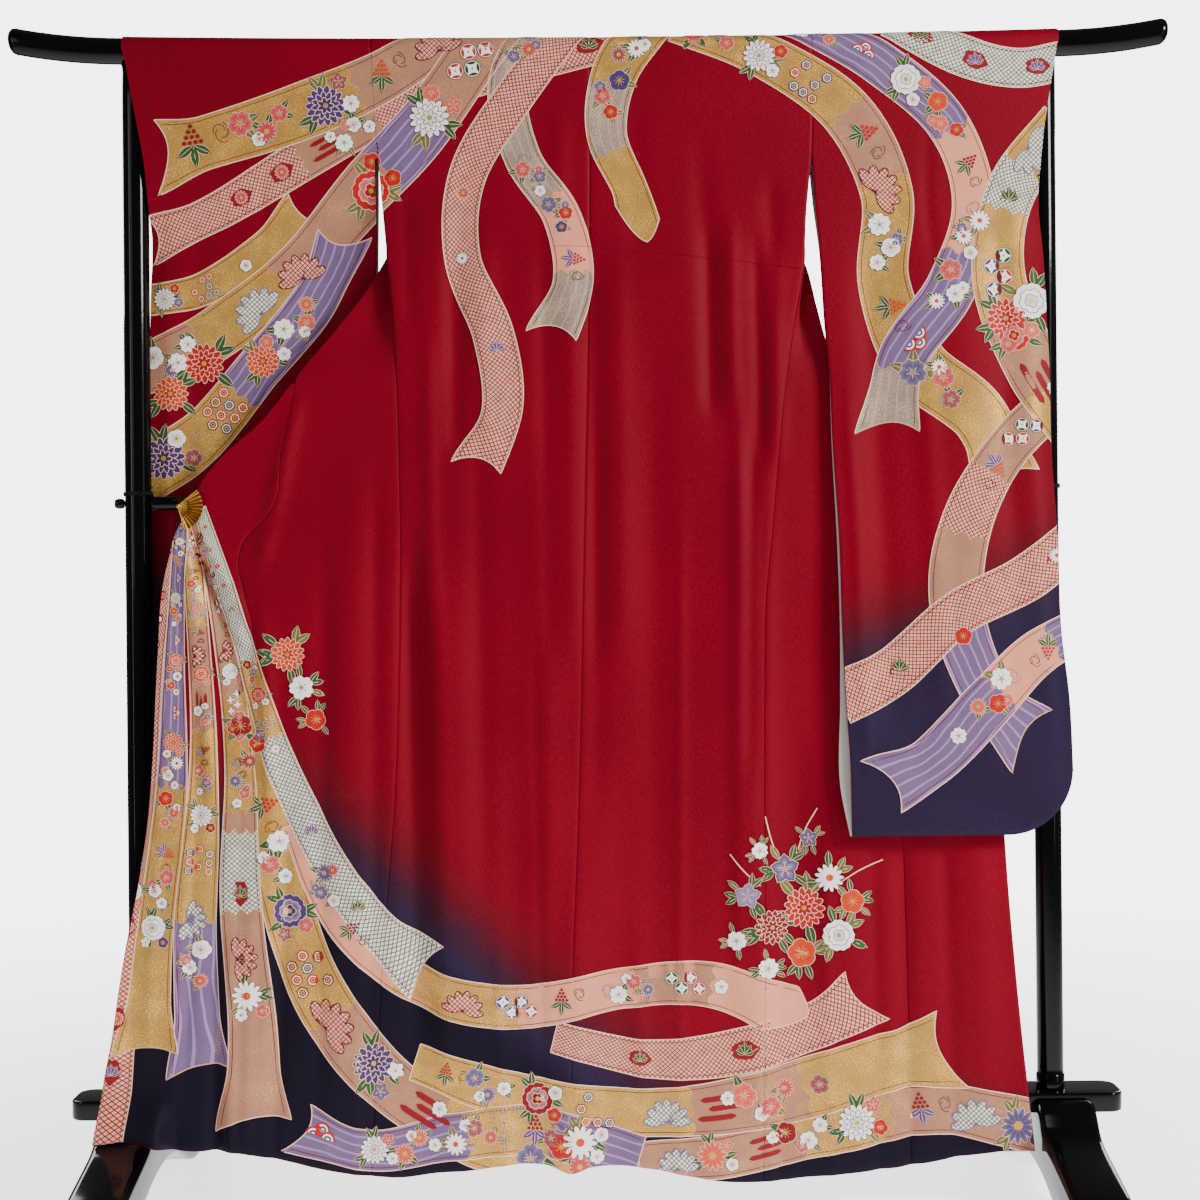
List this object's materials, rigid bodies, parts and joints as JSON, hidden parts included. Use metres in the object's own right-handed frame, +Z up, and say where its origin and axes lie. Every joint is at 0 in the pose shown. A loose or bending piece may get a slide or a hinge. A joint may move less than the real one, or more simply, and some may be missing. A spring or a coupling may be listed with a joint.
{
  "type": "furisode kimono on a kimono stand",
  "caption": "Long-sleeved kimono spread over the bar of a lacquered stand and seen from its back, its fronts turned out to the sides and clipped.",
  "frame": {"origin": "centre of the footprint of the two feet, on the floor", "axes": "+X runs along the bar to the right of someone who faces the kimono's back, +Y points away from them, +Z is up"},
  "size_m": [1.69, 0.57, 1.7156],
  "materials": {
    "crepe": "soft silk crepe with a low sheen",
    "lacquer": "high-gloss black lacquer on wood",
    "gilt": "satin",
    "cord": "braided cord"
  },
  "bodies": {
    "root": {"back_left": "crepe", "back_right": "crepe", "front_left": "crepe", "front_right": "crepe", "okumi_left": "crepe", "okumi_right": "crepe", "collar_left": "crepe", "collar_right": "crepe", "sleeve_left_near": "crepe", "sleeve_left_far": "crepe", "sleeve_right_near": "crepe", "sleeve_right_far": "crepe", "top_bar": "lacquer", "low_rail": "lacquer", "post_left": "lacquer", "post_right": "lacquer", "foot_left": "lacquer", "foot_right": "lacquer", "arm_left": "lacquer", "arm_right": "lacquer", "clip_right": "lacquer", "clip_left": "gilt", "fan_left": "gilt", "tie_left": "cord", "tie_right": "cord"}
  },
  "joints": []
}
